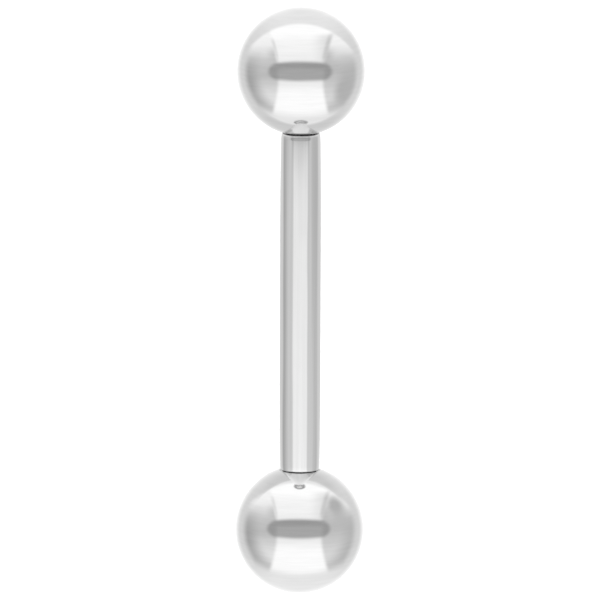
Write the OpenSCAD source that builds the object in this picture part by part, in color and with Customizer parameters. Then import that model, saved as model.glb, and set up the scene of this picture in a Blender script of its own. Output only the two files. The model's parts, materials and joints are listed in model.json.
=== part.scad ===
// Straight piercing barbell with two screw-on balls, lying on its balls along Y.

/* [Bar] */
// Diameter of the plain shaft, 14 gauge
shaft_d = 1.6; // [1.5:0.1:2.4]
// Length of the plain shaft between its two shoulders
shaft_len = 13.3; // [8:0.1:32]
// Width of the broken edge on each shoulder
edge_break = 0.04; // [0.01:0.01:0.06]

/* [Thread] */
// Length of the relief between each shoulder and its thread
relief_len = 0.2; // [0.1:0.05:0.4]
// Outer diameter of the thread on each end of the bar
thread_d = 1.2; // [1:0.05:1.3]
// Length of one turn of the thread
thread_pitch = 0.25; // [0.2:0.05:0.3]
// Number of turns on each end
thread_turns = 8; // [6:1:9]
// Width of the chamfer on each tip of the bar
tip_chamfer = 0.12; // [0.05:0.01:0.2]

/* [Balls] */
// Diameter of each ball
ball_d = 5; // [4:0.5:8]
// Slot that shows between the bar's shoulder and the upper ball, which is screwed on less tightly
top_slot = 0.05; // [0.02:0.01:0.15]
// Slot that shows between the bar's shoulder and the lower ball
bottom_slot = 0.02; // [0.02:0.01:0.15]
// Depth of the countersink in the mouth of each ball
sink_depth = 0.3; // [0.2:0.05:0.6]
// Gap all round between the thread and the bore of a ball
bore_clearance = 0.03; // [0.02:0.01:0.05]
// Room between the bar's tip and the bottom of the bore
bore_spare = 0.2; // [0.1:0.05:0.4]
// Angle of the drill point at the bottom of the bore
drill_angle = 118; // [90:1:140]

/* [Hidden] */
$fn = 96;

shaft_r = shaft_d / 2;
thread_r = thread_d / 2;
ball_r = ball_d / 2;
bore_r = thread_r + bore_clearance;

// A 60 degree thread: depth of its groove as a share of the pitch
THREAD_DEPTH_SHARE = 0.5413;
thread_depth = THREAD_DEPTH_SHARE * thread_pitch;
root_r = thread_r - thread_depth;
// One turn of the thread, as [share of the pitch, share of the depth]
THREAD_FORM = [
    [1 / 4, 0],
    [9 / 16, 1],
    [11 / 16, 1],
    [1, 0],
];

// Distances from the middle of the bar
shoulder = shaft_len / 2;
thread_start = shoulder + relief_len;
thread_end = thread_start + thread_turns * thread_pitch;
tip = thread_end + tip_chamfer;

// The mouth of a ball is as wide as the shaft, where the sphere reaches that width
mouth_dist = sqrt(pow(ball_r, 2) - pow(shaft_r, 2));
mouth_slope = (shaft_r - bore_r) / sink_depth;
// How far the tool that cuts the mouth starts outside the ball
cut_over = 0.5;
drill_point = bore_r / tan(drill_angle / 2);

top_ball_dist = shoulder + top_slot + mouth_dist;
bottom_ball_dist = shoulder + bottom_slot + mouth_dist;
// Puts the middle of the whole barbell, not of the bar, over the origin
bar_y = (bottom_ball_dist - top_ball_dist) / 2;

// Outline of one half of the bar from shoulder to tip, as [radius, distance from the middle]
half_outline = concat(
    [
        [shaft_r, shoulder - edge_break],
        [shaft_r - edge_break, shoulder],
        [root_r, shoulder],
    ],
    [
        for (turn = [0:thread_turns - 1], step = THREAD_FORM)
            [root_r + step[1] * thread_depth, thread_start + (turn + step[0]) * thread_pitch]
    ],
    [
        [root_r - tip_chamfer, tip],
        [0, tip],
    ]
);

// Stands a shape that is made round Z on the barbell's axis, with its +Z along +Y or, turned, along -Y
module on_axis(y, turned = false) {
    translate([0, y, ball_r]) rotate([turned ? 90 : -90, 0, 0]) children();
}

// Shaft, shoulders, reliefs and threads in one piece
module bar() {
    last = len(half_outline) - 1;
    color("silver")
    on_axis(bar_y)
    rotate_extrude()
    polygon(concat(
        [for (i = [last:-1:0]) half_outline[i]],
        [for (point = half_outline) [point[0], -point[1]]]
    ));
}

// Countersunk mouth, bore and drill point, with the mouth's plane at z = 0
module ball_bore(slot) {
    bore_end = slot + tip - shoulder + bore_spare;
    rotate_extrude()
    polygon([
        [0, -cut_over],
        [shaft_r + mouth_slope * cut_over, -cut_over],
        [bore_r, sink_depth],
        [bore_r, bore_end],
        [0, bore_end + drill_point],
    ]);
}

// Ball round its own centre, with its mouth towards -Z
module ball(slot) {
    difference() {
        sphere(d = ball_d);
        translate([0, 0, -mouth_dist]) ball_bore(slot);
    }
}

module top_ball() {
    color("gainsboro")
    on_axis(bar_y + top_ball_dist)
    ball(top_slot);
}

module bottom_ball() {
    color("gainsboro")
    on_axis(bar_y - bottom_ball_dist, turned = true)
    ball(bottom_slot);
}

bar();
top_ball();
bottom_ball();
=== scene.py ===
"""A straight piercing barbell in polished steel, lying on its two balls on a pale floor in a light tent."""
import json
import math

import bmesh
import bpy
import numpy as np
from mathutils import Matrix, Vector


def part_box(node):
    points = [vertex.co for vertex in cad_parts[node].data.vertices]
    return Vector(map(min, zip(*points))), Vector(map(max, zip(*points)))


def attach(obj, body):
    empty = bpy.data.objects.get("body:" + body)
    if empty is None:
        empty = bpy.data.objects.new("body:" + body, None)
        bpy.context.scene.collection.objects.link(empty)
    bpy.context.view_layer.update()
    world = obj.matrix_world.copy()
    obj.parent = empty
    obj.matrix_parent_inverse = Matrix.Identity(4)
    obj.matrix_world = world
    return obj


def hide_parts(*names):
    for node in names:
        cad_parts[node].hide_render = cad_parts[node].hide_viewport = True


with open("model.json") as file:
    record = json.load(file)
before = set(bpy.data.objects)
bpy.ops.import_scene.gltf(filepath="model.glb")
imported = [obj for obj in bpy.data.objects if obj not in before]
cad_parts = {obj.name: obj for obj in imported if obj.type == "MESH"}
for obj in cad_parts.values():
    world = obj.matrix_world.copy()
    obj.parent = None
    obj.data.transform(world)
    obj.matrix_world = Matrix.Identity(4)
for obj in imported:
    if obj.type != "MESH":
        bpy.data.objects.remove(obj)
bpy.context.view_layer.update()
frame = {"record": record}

MM = 0.001

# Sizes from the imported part. The facets of a ball's mesh fall just short of its radius, so that is rounded.
shaft = next(mount for mount in frame["record"]["mounts"] if mount["name"] == "shaft")
SHAFT_R = shaft["dims"]["r_mm"] * MM
top_low, top_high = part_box("top_ball")
bottom_low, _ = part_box("bottom_ball")
bar_low, bar_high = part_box("bar")
BALL_R = round((top_high.x - top_low.x) / 2, 5)
AXIS_Z = BALL_R
TOP_BALL_Y = top_high.y - BALL_R
BOTTOM_BALL_Y = bottom_low.y + BALL_R
BAR_Y = (bar_low.y + bar_high.y) / 2

# Thread on each end of the bar
THREAD_R = 0.6 * MM
THREAD_PITCH = 0.25 * MM
THREAD_TURNS = 8
TIP_CHAMFER = 0.12 * MM
RELIEF_LEN = 0.2 * MM
# A 60 degree thread: depth of its groove, and flats at its crest and root, as shares of the pitch
THREAD_DEPTH_SHARE = 0.5413
CREST_FLAT = 0.125
ROOT_FLAT = 0.25
THREAD_DEPTH = THREAD_DEPTH_SHARE * THREAD_PITCH
ROOT_R = THREAD_R - THREAD_DEPTH

# Distances from the middle of the bar
TIP = (bar_high.y - bar_low.y) / 2
THREAD_END = TIP - TIP_CHAMFER
THREAD_START = THREAD_END - THREAD_TURNS * THREAD_PITCH
SHOULDER = THREAD_START - RELIEF_LEN

# Polishing rounds each shoulder's edge to a quarter of an ellipse, and thins the shaft slightly towards it
TOP_EDGE_DEPTH = 0.06 * MM
BOTTOM_EDGE_DEPTH = 0.02 * MM
EDGE_LEN = 0.22 * MM
EDGE_START = SHOULDER - EDGE_LEN
WEAR_DEPTH = 0.026 * MM
WEAR_LEN = 0.9 * MM

# Countersunk mouth and tapped bore of a ball
SINK_DEPTH = 0.3 * MM
BORE_R = 0.63 * MM
BORE_SPARE = 0.2 * MM
BORE_GROOVE = 0.08 * MM
DRILL_ANGLE = math.radians(118)

# Radius of the smallest rounded corners, and fineness of the turned meshes
ROUNDING = 0.008 * MM
ROUNDING_ROWS = 5
SEGMENTS = 144
BALL_ROWS = 96
EDGE_ROWS = 24
SHAFT_ROW = 0.25 * MM
THREAD_ROW = THREAD_PITCH / 16
SHARP_ANGLE = math.radians(40)

# The photograph's view: from above, leaning towards the top ball
CAMERA_TILT = math.radians(10.2)
CAMERA_ROLL = math.radians(0.2)
CAMERA_DISTANCE = 0.6
AIM = Vector((-0.01 * MM, 0.03 * MM, AXIS_Z))
PICTURE_PX = 600
PX_PER_MM = 25.7
SENSOR_MM = 36

TENT_RADIUS = 0.4
SKY_STRENGTH = 2.2
FLOOR_WIDTH = 3
FLOOR_TONE = 0.9
FLOOR_ROUGHNESS = 0.9

# Share of the light that the steel reflects. What it mirrors is given as bright as the steel shows it.
STEEL_TONE = 0.70
STEEL_ROUGHNESS = 0.08
# Shares of the roughness by which the polishing marks vary it and the haze adds to it
MARKS_IN_ROUGHNESS = 0.2
HAZE_IN_ROUGHNESS = 0.35
# Cells of haze per metre along each axis
HAZE_CELLS = (1100, 1100, 1100)

# Front wall of the tent, in radii of TentView's ball. A pair is for the left and the right half.
WALL_WAIST = (0.35, 0.338)
WALL_WAIST_HEIGHT = -0.06
WALL_FLARE = 0.28
HEM_WIDTH = (0.045, 0.065)
HEM_TOP = (0.56, 0.62)
HEM_TOP_FULL = (0.43, 0.50)
SLOT_HALF_WIDTH = (0.36, 0.335)
SLOT_HALF_HEIGHT = 0.035
SLOT_BEND = 0.15
# Share at which a distance past the slot's ends counts, which makes them fade out over more
SLOT_END_SHARE = 0.8
# Keeps a size that a node divides by above zero
TINY = 0.000001


def add_object(name, data):
    """Puts a new object into the scene."""
    added = bpy.data.objects.new(name, data)
    bpy.context.scene.collection.objects.link(added)
    return added


def unit(step):
    """A direction in the plane of an outline."""
    return np.array(step) / np.hypot(*step)


def rounded(corner, come, leave):
    """Points of the small arc that rounds an outline's corner, reached along come and left along leave."""
    come, leave = unit(come), unit(leave)
    side = np.sign(come[0] * leave[1] - come[1] * leave[0])
    angle = math.acos(np.dot(come, leave))
    inward = np.array([-come[1], come[0]]) * side
    start = np.array(corner) - come * ROUNDING * math.tan(angle / 2)
    centre = start + inward * ROUNDING
    turns = np.linspace(0, angle, ROUNDING_ROWS + 1)
    return [tuple(centre + ROUNDING * (come * math.sin(t) - inward * math.cos(t))) for t in turns]


def spaced(start, end, step):
    """Places from start to end, at most step apart, without start itself."""
    return np.linspace(start, end, max(1, math.ceil(abs(end - start) / step)) + 1)[1:]


def ridge(along, turn):
    """Height of a right-hand thread, from 0 at its root to 1 at its crest."""
    phase = (along / THREAD_PITCH + turn) % 1
    height = np.clip((1 - ROOT_FLAT - abs(2 * phase - 1)) / (1 - CREST_FLAT - ROOT_FLAT), 0, 1)
    return height * height * (3 - 2 * height)


def fading(along, start, end):
    """0 before start and after end, and 1 between them, with a run of one turn at each."""
    return np.clip((along - start) / THREAD_PITCH, 0, 1) * np.clip((end - along) / THREAD_PITCH, 0, 1)


def turned(name, outline, place, facing, cut):
    """A closed mesh turned round the barbell's axis.

    outline runs from axis to axis as (radius, distance from place). facing is 1 where its distances run
    towards +Y, and -1 where they run towards -Y. cut takes the radius, the distance and the share of a
    turn, and returns the radius with its thread.
    """
    points = np.array(outline[1:-1])
    turn = np.linspace(0, 1, SEGMENTS, endpoint=False)[None, :]
    along = points[:, 1:2] + 0 * turn
    radius = cut(points[:, 0:1] + 0 * turn, along, facing * turn)
    x = radius * np.cos(2 * np.pi * turn)
    y = place + facing * along
    z = AXIS_Z + radius * np.sin(2 * np.pi * turn)
    vertices = np.stack([x, y, z], axis=-1).reshape(-1, 3).tolist()
    poles = len(vertices), len(vertices) + 1
    vertices += [(0, place + facing * outline[end][1], AXIS_Z) for end in (0, -1)]

    last = (len(points) - 1) * SEGMENTS
    faces = []
    for column in range(SEGMENTS):
        after = (column + 1) % SEGMENTS
        faces.append((poles[0], column, after))
        faces.append((poles[1], last + after, last + column))
        for low in range(0, last, SEGMENTS):
            high = low + SEGMENTS
            faces.append((low + column, high + column, high + after, low + after))
    if facing < 0:
        faces = [face[::-1] for face in faces]

    mesh = bpy.data.meshes.new(name)
    mesh.from_pydata(vertices, [], faces)
    mesh.shade_smooth()
    mesh.set_sharp_from_angle(angle=SHARP_ANGLE)
    return add_object(name, mesh)


def make_bar():
    """Shaft, shoulders, reliefs and threaded ends, turned from one rod."""

    def worn(along):
        return SHAFT_R - WEAR_DEPTH * math.exp((along - SHOULDER) / WEAR_LEN)

    def edge(depth):
        for angle in np.linspace(0, math.pi / 2, EDGE_ROWS):
            along = EDGE_START + EDGE_LEN * math.sin(angle)
            yield worn(along) - depth * (1 - math.cos(angle)), along

    def half(edge_depth):
        thread = spaced(THREAD_START - THREAD_ROW, THREAD_END, THREAD_ROW)
        return [
            *[(worn(along), along) for along in spaced(0, EDGE_START, SHAFT_ROW)[:-1]],
            *edge(edge_depth),
            *rounded((ROOT_R, SHOULDER), (-1, 0), (0, 1)),
            *[(THREAD_R, along) for along in thread],
            *[(ROOT_R + THREAD_END - along, along) for along in spaced(THREAD_END, TIP, THREAD_ROW)],
            (0, TIP),
        ]

    def cut(radius, along, turn):
        distance = abs(along)
        height = ridge(distance, np.sign(along) * turn) * fading(distance, THREAD_START, TIP + THREAD_PITCH)
        thread = np.minimum(radius, ROOT_R + THREAD_DEPTH * height)
        return np.where(distance < THREAD_START - THREAD_ROW, radius, thread)

    bottom = [(radius, -along) for radius, along in reversed(half(BOTTOM_EDGE_DEPTH))]
    return turned("turned_bar", bottom + half(TOP_EDGE_DEPTH), BAR_Y, 1, cut)


def make_ball(name, place, facing):
    """A ball with a countersunk mouth on its facing side and a tapped bore that ends in a drill point."""
    mouth = math.sqrt(BALL_R**2 - SHAFT_R**2)
    slot = abs(place - BAR_Y) - mouth - SHOULDER
    sink_end = mouth - SINK_DEPTH
    bore_end = mouth - (slot + TIP - SHOULDER + BORE_SPARE)
    widening = (SHAFT_R - BORE_R) / SINK_DEPTH
    lip = rounded((SHAFT_R, mouth), (-mouth, SHAFT_R), (-widening, -1))
    angles = np.linspace(-math.pi / 2, math.atan2(lip[0][1], lip[0][0]), BALL_ROWS)
    sink = spaced(lip[-1][1], sink_end, THREAD_ROW)
    outline = [
        (0, -BALL_R),
        *[(BALL_R * math.cos(angle), BALL_R * math.sin(angle)) for angle in angles[1:-1]],
        *lip,
        *[(BORE_R + (along - sink_end) * widening, along) for along in sink],
        *[(BORE_R, along) for along in spaced(sink_end, bore_end, THREAD_ROW)],
        (0, bore_end - BORE_R / math.tan(DRILL_ANGLE / 2)),
    ]

    def cut(radius, along, turn):
        depth = (1 - ridge(along, turn)) * fading(along, bore_end, mouth)
        return np.where(depth > 0, np.maximum(radius, BORE_R + BORE_GROOVE * depth), radius)

    return turned(name, outline, place, facing, cut)


def node_material(name):
    """A new material that is made of nodes."""
    material = bpy.data.materials.new(name)
    material.use_nodes = True
    return material


def from_object(tree, operation):
    """Adds a Vector Math node that works on places in the object's own coordinates."""
    node = tree.nodes.new("ShaderNodeVectorMath")
    node.operation = operation
    tree.links.new(tree.nodes.new("ShaderNodeTexCoord").outputs["Object"], node.inputs[0])
    return node


def feed(value, socket):
    """Gives a node's input a term or a plain number."""
    if isinstance(value, Term):
        value.tree.links.new(value.socket, socket)
    else:
        socket.default_value = value


class Term:
    """A number in a node tree, to which arithmetic adds Math nodes."""

    def __init__(self, tree, socket):
        self.tree = tree
        self.socket = socket

    def node(self, kind, inputs, **settings):
        """Adds a node whose inputs are terms or plain numbers, and returns its first output as a term."""
        node = self.tree.nodes.new(kind)
        for name, value in settings.items():
            setattr(node, name, value)
        for place, value in inputs.items():
            feed(value, node.inputs[place])
        return Term(self.tree, node.outputs[0])

    def math(self, operation, other=0.0):
        return self.node("ShaderNodeMath", {0: self, 1: other}, operation=operation)

    def __add__(self, other):
        return self.math("ADD", other)

    def __sub__(self, other):
        return self.math("SUBTRACT", other)

    def __mul__(self, other):
        return self.math("MULTIPLY", other)

    def __truediv__(self, other):
        return self.math("DIVIDE", other)

    def __pow__(self, other):
        return self.math("POWER", other)

    def __abs__(self):
        return self.math("ABSOLUTE")

    def most(self, other):
        return self.math("MAXIMUM", other)

    def step(self, start, end, low=0.0, high=1.0):
        """A soft step from low at start to high at end."""
        inputs = {"From Min": start, "From Max": end, "To Min": low, "To Max": high, "Value": self}
        return self.node("ShaderNodeMapRange", inputs, interpolation_type="SMOOTHSTEP")

    def towards(self, other, share):
        """This number where share is 0, and the other one where it is 1."""
        return self.node("ShaderNodeMix", {0: share, 2: self, 3: other}, data_type="FLOAT")


def length(across, along):
    """Length of a step that goes so far one way and so far at right angles to it."""
    return (across * across + along * along) ** 0.5


class TentView:
    """Where a mirror ball in the tent's middle shows each direction to the camera, in that ball's radii.

    across, height and rim are distances from the ball's middle: to the right, up, and outwards. side is
    across without its sign. past_wall is the distance outwards from the front wall's nearer side, and is
    below 0 on the wall.
    """

    def __init__(self, tree):
        split = tree.nodes.new("ShaderNodeSeparateXYZ")
        tree.links.new(from_object(tree, "NORMALIZE").outputs[0], split.inputs[0])
        x, y, z = (Term(tree, output) for output in split.outputs)
        # The ball's surface there faces halfway between the direction and the camera
        halfway = ((z + 1) * 2).most(TINY) ** 0.5
        self.across = x / halfway
        self.height = y / halfway
        self.side = abs(self.across)
        self.rim = length(self.across, self.height)
        self.right_half = self.across.step(-0.1, 0.1)
        wall = (self.height - WALL_WAIST_HEIGHT) ** 2 * WALL_FLARE + self.halves(*WALL_WAIST)
        self.past_wall = self.side - wall

    def halves(self, left, right):
        """One number in the left half of the picture and another in the right half."""
        return self.right_half.step(0.0, 1.0, left, right)


def front_wall(view):
    """Brightness of the front wall, with lamps above and below the slot and a shadow at the upper right."""
    lamp = view.height.step(0.40, 0.60)
    shadow = view.across.step(0.12, 0.40) * view.height.step(0.62, 0.50)
    upper = view.height.step(0.18, 0.33, 0.865, 0.90).towards(1.0, lamp).towards(0.76, shadow)
    lower = view.height.step(-0.14, -0.36, 0.83, 0.97)
    return upper.towards(lower, view.height.step(0.03, -0.03))


# The parts below return their brightness, and how far they cover the parts before them


def open_ends(view):
    """Open ends: white at the top, grey beside the slot, and the dark room behind them."""
    height = view.height
    beside_wall = view.past_wall.step(0.18, 0.02) * height.step(0.42, 0.22)
    upper = height.step(0.05, 0.50, view.halves(0.52, 0.49), 0.90)
    upper = upper.towards(view.halves(0.545, 0.51), beside_wall)
    foot = height.step(-0.50, -0.70)
    lower = height.step(0.05, -0.45, view.halves(0.46, 0.50), view.halves(0.75, 0.67))
    end = upper.towards(lower, height.step(0.0, -0.05)).towards(0.56, foot)
    behind = view.rim.step(0.59, 0.83) * height.step(0.42, -0.10)
    room = view.halves(height.step(-0.20, -0.40, 0.36, 0.42), 0.46)
    return end.towards(room, behind), view.past_wall.step(-0.04, 0.04)


def hems(view):
    """Darker hems along the sides of the front wall, above the slot."""
    beside = abs(view.past_wall).step(view.halves(*HEM_WIDTH), 0.0)
    above = view.height.step(0.12, 0.25)
    below = view.height.step(view.halves(*HEM_TOP), view.halves(*HEM_TOP_FULL))
    return view.halves(0.72, 0.58), beside * above * below


def back_wall(view):
    """Back wall, which shows past an arc above, past one below, and all round near the rim."""
    wall = view.side.step(0.30, 0.95, 0.775, 0.62).towards(0.82, view.rim.step(0.92, 1.0))
    top_arc = length(view.across + 0.018, view.height + 0.30)
    low_arc = length(view.across * math.sqrt(0.75), view.height - 0.45)
    share = top_arc.step(0.997, 1.053).most(low_arc.step(1.06, 1.22)).most(view.rim.step(0.80, 0.91))
    return wall, share


def lens_slot(view):
    """Dark slot in the front wall for the lens, with round ends and slightly bent sides."""
    beside = (view.side - view.halves(*SLOT_HALF_WIDTH)).most(0) * SLOT_END_SHARE
    above = (abs(view.height) + view.across * view.across * SLOT_BEND - SLOT_HALF_HEIGHT).most(0)
    core = view.height.step(0.09, 0.0, 0.31, 0.375).towards(0.315, view.side.step(0.31, 0.41))
    return core, length(beside, above).step(0.15, 0.08)


def tent_light(tree):
    """Brightness of the light tent: its front wall, and what takes that wall's place in turn."""
    view = TentView(tree)
    light = front_wall(view)
    for part in (open_ends, hems, back_wall, lens_slot):
        brightness, share = part(view)
        light = light.towards(brightness, share)
    return light


def glow(name, shape, place, light, share=None):
    """Adds a glowing surface that only shows in reflections.

    light and share take a node tree. light returns the surface's brightness as the steel shows it. share
    returns how far it covers what lies behind it, and without share it covers all.
    """
    material = node_material(name)
    material.cycles.emission_sampling = "NONE"
    tree = material.node_tree
    tree.nodes.clear()
    emission = tree.nodes.new("ShaderNodeEmission")
    feed(light(tree) / STEEL_TONE, emission.inputs["Strength"])
    surface = emission.outputs[0]
    if share:
        mix = tree.nodes.new("ShaderNodeMixShader")
        feed(share(tree), mix.inputs[0])
        tree.links.new(tree.nodes.new("ShaderNodeBsdfTransparent").outputs[0], mix.inputs[1])
        tree.links.new(surface, mix.inputs[2])
        surface = mix.outputs[0]
    tree.links.new(surface, tree.nodes.new("ShaderNodeOutputMaterial").inputs["Surface"])

    mesh = bpy.data.meshes.new(name)
    shape.to_mesh(mesh)
    shape.free()
    mesh.materials.append(material)
    glowing = add_object(name, mesh)
    glowing.matrix_world = place
    glowing.visible_camera = False
    glowing.visible_diffuse = False
    glowing.visible_shadow = False


def make_tent(place):
    """Light tent round the barbell, with its front towards +Z of place."""
    shape = bmesh.new()
    bmesh.ops.create_icosphere(shape, subdivisions=4, radius=TENT_RADIUS)
    glow("light_tent", shape, place, tent_light)


def make_card(name, place, half_width, half_height, soft, tone):
    """Grey oval card in the tent, which fades out over the outer soft share of its size."""

    def light(tree):
        return tone

    def share(tree):
        return Term(tree, from_object(tree, "LENGTH").outputs["Value"]).step(1, 1 - soft)

    shape = bmesh.new()
    bmesh.ops.create_circle(shape, cap_ends=True, segments=64, radius=1)
    glow(name, shape, place @ Matrix.Diagonal((half_width, half_height, 1, 1)), light, share)


def make_sky():
    """Plain white sky, which lights the floor."""
    sky = bpy.data.worlds.new("white_sky")
    sky.use_nodes = True
    background = sky.node_tree.nodes["Background"]
    background.inputs["Color"].default_value = (1, 1, 1, 1)
    background.inputs["Strength"].default_value = SKY_STRENGTH
    bpy.context.scene.world = sky


def make_floor():
    """Pale floor. Reflections leave it out, because in them the tent goes on below."""
    mesh = bpy.data.meshes.new("floor")
    half = FLOOR_WIDTH / 2
    corners = [(-half, -half, 0), (half, -half, 0), (half, half, 0), (-half, half, 0)]
    mesh.from_pydata(corners, [], [(0, 1, 2, 3)])
    material = node_material("pale_floor")
    shader = material.node_tree.nodes["Principled BSDF"]
    shader.inputs["Base Color"].default_value = (FLOOR_TONE, FLOOR_TONE, FLOOR_TONE, 1)
    shader.inputs["Roughness"].default_value = FLOOR_ROUGHNESS
    shader.inputs["Specular IOR Level"].default_value = 0
    mesh.materials.append(material)
    floor = add_object("floor", mesh)
    floor.visible_glossy = False


def make_camera(place):
    """The photograph's view, along -Z of place."""
    data = bpy.data.cameras.new("camera")
    data.sensor_width = SENSOR_MM
    picture_width = PICTURE_PX / PX_PER_MM * MM
    data.lens = SENSOR_MM * CAMERA_DISTANCE / picture_width
    camera = add_object("camera", data)
    back = Matrix.Translation((0, 0, CAMERA_DISTANCE))
    camera.matrix_world = place @ back @ Matrix.Rotation(CAMERA_ROLL, 4, "Z")
    bpy.context.scene.camera = camera


def noise(tree, cells, detail):
    """Noise of 0 to 1 that is fixed to the piece. cells holds its cells per metre along each axis."""
    spread = from_object(tree, "MULTIPLY")
    spread.inputs[1].default_value = cells
    texture = tree.nodes.new("ShaderNodeTexNoise")
    texture.inputs["Scale"].default_value = 1
    texture.inputs["Detail"].default_value = detail
    tree.links.new(spread.outputs[0], texture.inputs["Vector"])
    return Term(tree, texture.outputs[0])


def steel(name, streaks, marks, mark_depth, waves, wave_depth):
    """Polished steel, with streaks in its tone that vary it by that share.

    marks and waves hold the cells per metre along each axis of the fine polishing marks and of the slight
    unevenness below them, and the depths are in metres.
    """
    material = node_material(name)
    tree = material.node_tree
    shader = tree.nodes["Principled BSDF"]
    shader.inputs["Metallic"].default_value = 1
    lines = noise(tree, marks, 3)
    uneven = noise(tree, waves, 1)
    haze = noise(tree, HAZE_CELLS, 4)

    tone = lines.step(0.25, 0.75, STEEL_TONE * (1 - streaks), STEEL_TONE * (1 + streaks))
    feed(tone, shader.inputs["Base Color"])

    least = STEEL_ROUGHNESS * (1 - MARKS_IN_ROUGHNESS)
    most = STEEL_ROUGHNESS * (1 + MARKS_IN_ROUGHNESS)
    added = haze.step(0.35, 0.8, 0, STEEL_ROUGHNESS * HAZE_IN_ROUGHNESS)
    feed(lines.step(0.3, 0.7, least, most) + added, shader.inputs["Roughness"])

    bump = tree.nodes.new("ShaderNodeBump")
    bump.inputs["Distance"].default_value = 1
    feed(lines * mark_depth + uneven * wave_depth, bump.inputs["Height"])
    tree.links.new(bump.outputs["Normal"], shader.inputs["Normal"])
    return material


# The camera looks along this frame's -Z, and its X and Y are the picture's right and up
front = Matrix.Translation(AIM) @ Matrix.Rotation(-CAMERA_TILT, 4, "X")
make_camera(front)
make_tent(front)
# Painted shade: a grey card that only reflections show, standing in for the floor's shade below the barbell,
# which reflections leave out
make_card(
    "painted_floor_shade_card",
    front @ Matrix.Translation((0, 0, -2.7 * MM)),
    half_width=11.8 * MM,
    half_height=7.9 * MM,
    soft=0.61,
    tone=0.576,
)
make_card(
    "card_at_the_right",
    front @ Matrix.Translation((16.7 * MM, 2.3 * MM, 2.3 * MM)) @ Matrix.Rotation(-math.pi / 2, 4, "Y"),
    half_width=10.2 * MM,
    half_height=10.2 * MM,
    soft=0.8,
    tone=0.437,
)
make_sky()
make_floor()
bpy.context.scene.view_settings.view_transform = "Standard"

drawn_steel = steel(
    "drawn_steel",
    streaks=0.035,
    marks=(9000, 90, 9000),
    mark_depth=0.0004 * MM,
    waves=(1900, 240, 1900),
    wave_depth=0.014 * MM,
)
mirror_steel = steel(
    "mirror_steel",
    streaks=0.02,
    marks=(900, 9000, 900),
    mark_depth=0.00008 * MM,
    waves=(700, 900, 700),
    wave_depth=0.003 * MM,
)
for piece, node, slot, material in (
    (make_bar(), "bar", "shaft_steel", drawn_steel),
    (make_ball("mirror_top_ball", TOP_BALL_Y, -1), "top_ball", "ball_steel", mirror_steel),
    (make_ball("mirror_bottom_ball", BOTTOM_BALL_Y, 1), "bottom_ball", "ball_steel", mirror_steel),
):
    piece.data.materials.append(material)
    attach(piece, node)
    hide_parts(node)
